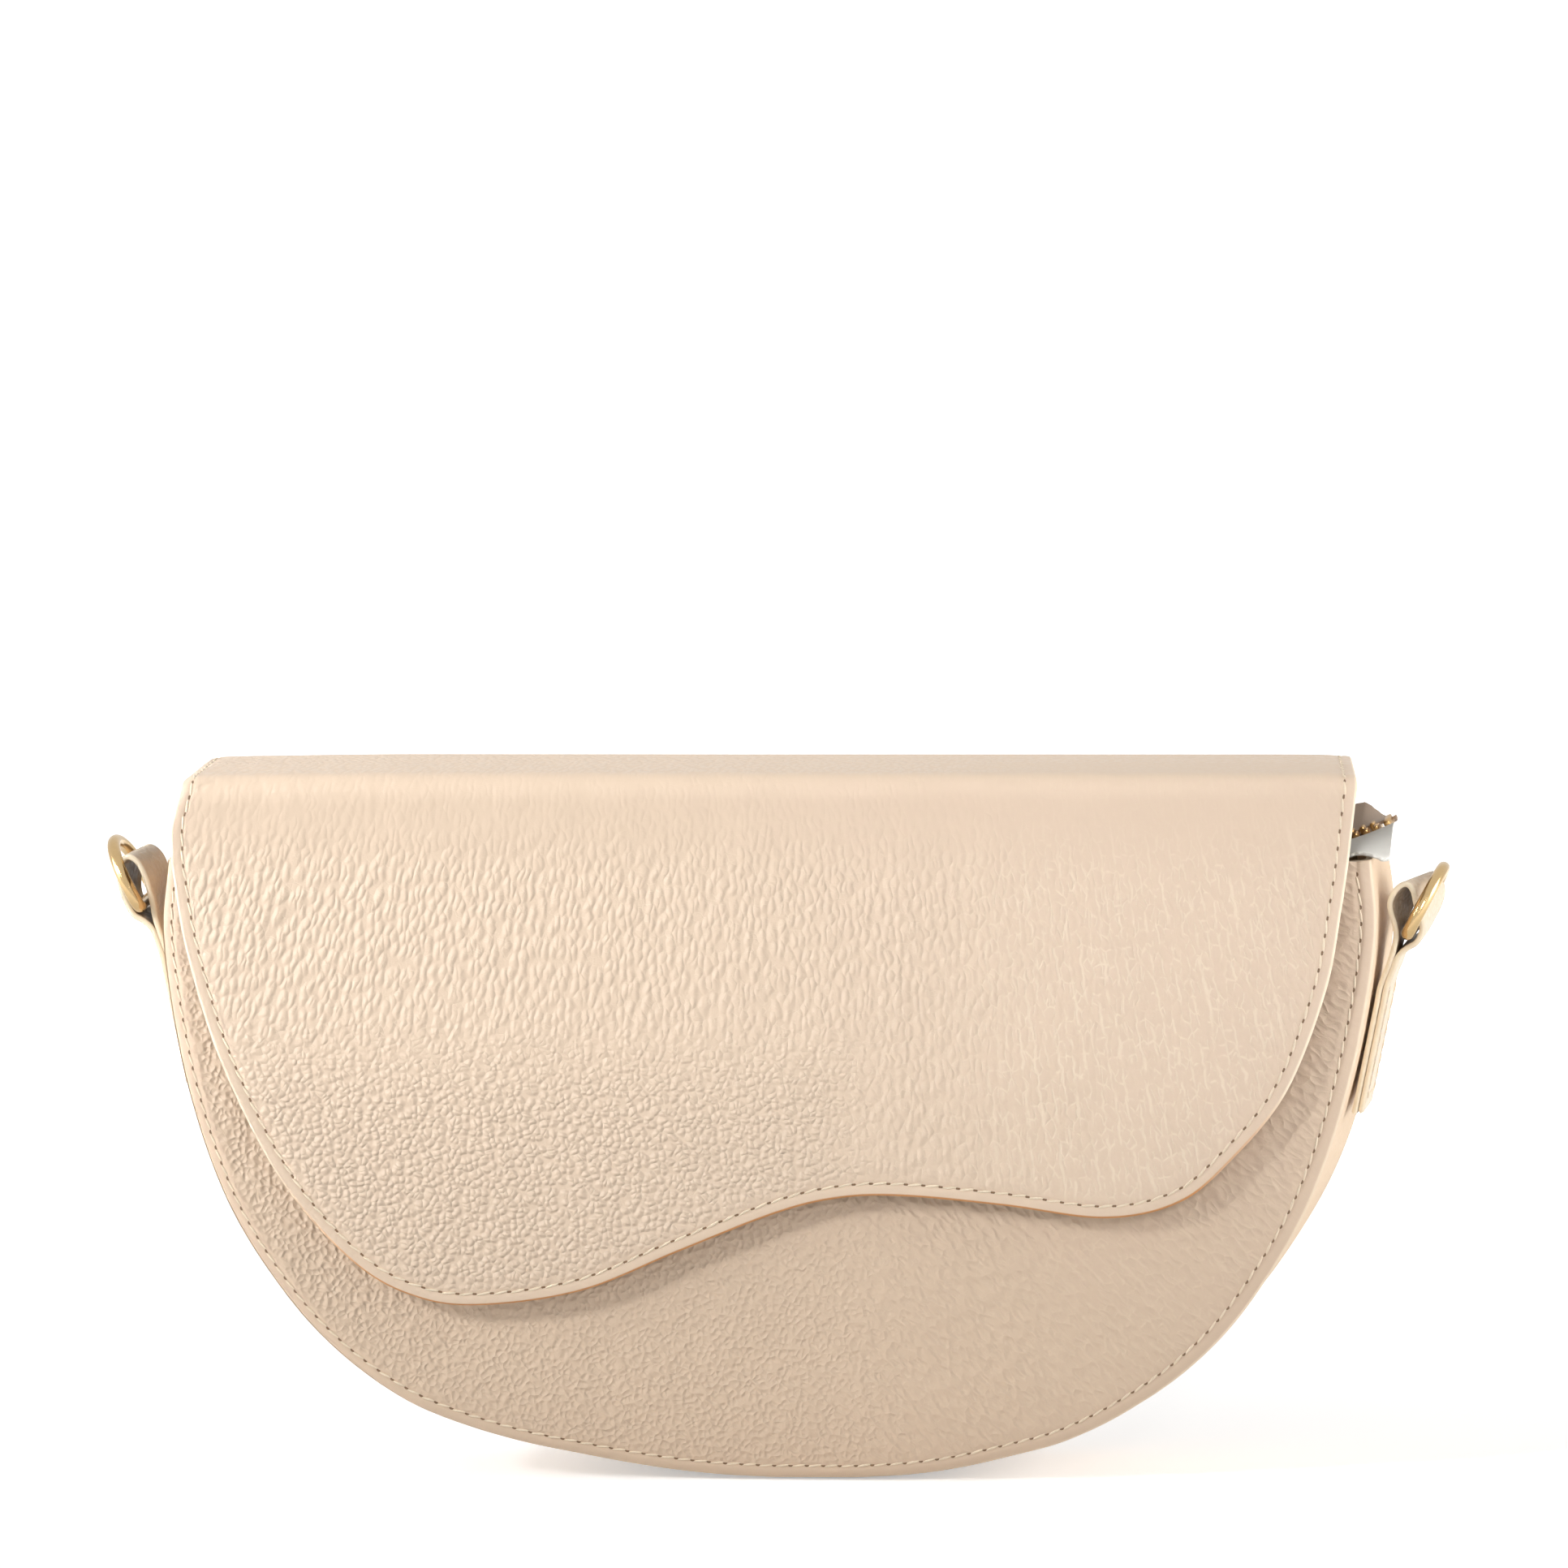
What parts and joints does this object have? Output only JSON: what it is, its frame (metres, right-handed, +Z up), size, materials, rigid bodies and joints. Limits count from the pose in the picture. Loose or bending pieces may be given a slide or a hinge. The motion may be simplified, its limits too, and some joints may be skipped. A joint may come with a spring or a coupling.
{
  "type": "saddle handbag",
  "caption": "Half-moon saddle handbag in pebbled leather: wavy front flap over a zipped mouth, D-rings at the sides for a strap.",
  "frame": {"origin": "centre of the overall box at the bottom, on the surface the bag stands on", "axes": "+X to the right seen from the front, along the width; +Y to the back, the flap's front faces -Y; +Z up"},
  "size_m": [0.3108, 0.0658, 0.163],
  "materials": {
    "pebbled_leather": "satin",
    "tab_leather": "satin",
    "suede": "matt",
    "lining_cloth": "matt",
    "stiffener_board": "matt",
    "zip_cloth": "matt",
    "gold_metal": "polished"
  },
  "bodies": {
    "bag": {"front_panel": "pebbled_leather", "back_panel": "pebbled_leather", "gusset": "pebbled_leather", "front_stiffener": "stiffener_board", "back_stiffener": "stiffener_board", "lining_front": "lining_cloth", "lining_back": "lining_cloth", "lining_gusset": "lining_cloth", "inner_pocket": "lining_cloth", "flap_back_strip": "pebbled_leather", "flap_lining_back": "suede", "snap_magnet": "gold_metal", "snap_washer": "gold_metal", "zip_tape_front": "zip_cloth", "zip_tape_back": "zip_cloth", "zip_teeth_front": "gold_metal", "zip_teeth_back": "gold_metal", "zip_top_stops": "gold_metal", "zip_bottom_stop": "gold_metal", "ring_tab_left": "tab_leather", "ring_tab_right": "tab_leather"},
    "flap_over": {"flap_top": "pebbled_leather", "flap_lining_top": "suede"},
    "flap_drop": {"flap_front": "pebbled_leather", "flap_lining_front": "suede", "snap_cap": "gold_metal"},
    "slider": {"zip_slider": "gold_metal"},
    "pull": {"zip_pull": "gold_metal"},
    "left_ring": {"d_ring_left": "gold_metal"},
    "right_ring": {"d_ring_right": "gold_metal"}
  },
  "joints": [
    {"name": "flap_hinge", "type": "hinge", "parent": "bag", "child": "flap_over", "pos_m": [0, 0.02018, 0.15963], "axis": [-1, 0, 0], "range_deg": [0, 165]},
    {"name": "flap_fold", "type": "hinge", "parent": "flap_over", "child": "flap_drop", "pos_m": [0, -0.01758, 0.15963], "axis": [-1, 0, 0], "range_deg": [0, 120]},
    {"name": "zip_slide", "type": "slide", "parent": "bag", "child": "slider", "axis": [1, 0, 0], "range_m": [0, 0.24]},
    {"name": "pull_swing", "type": "hinge", "parent": "slider", "child": "pull", "pos_m": [-0.1202, 0.00224, 0.14824], "axis": [0, 0.9848, 0.1736], "range_deg": [0, 170]},
    {"name": "left_ring_swing", "type": "hinge", "parent": "bag", "child": "left_ring", "pos_m": [-0.14685, 0.00295, 0.131], "axis": [0, 1, 0], "range_deg": [-155, 35]},
    {"name": "right_ring_swing", "type": "hinge", "parent": "bag", "child": "right_ring", "pos_m": [0.1464, 0.00295, 0.125], "axis": [0, -1, 0], "range_deg": [-155, 35]}
  ],
  "couplings": [
    {"joint": "flap_fold", "follows": "flap_hinge", "ratio": 0.727}
  ]
}
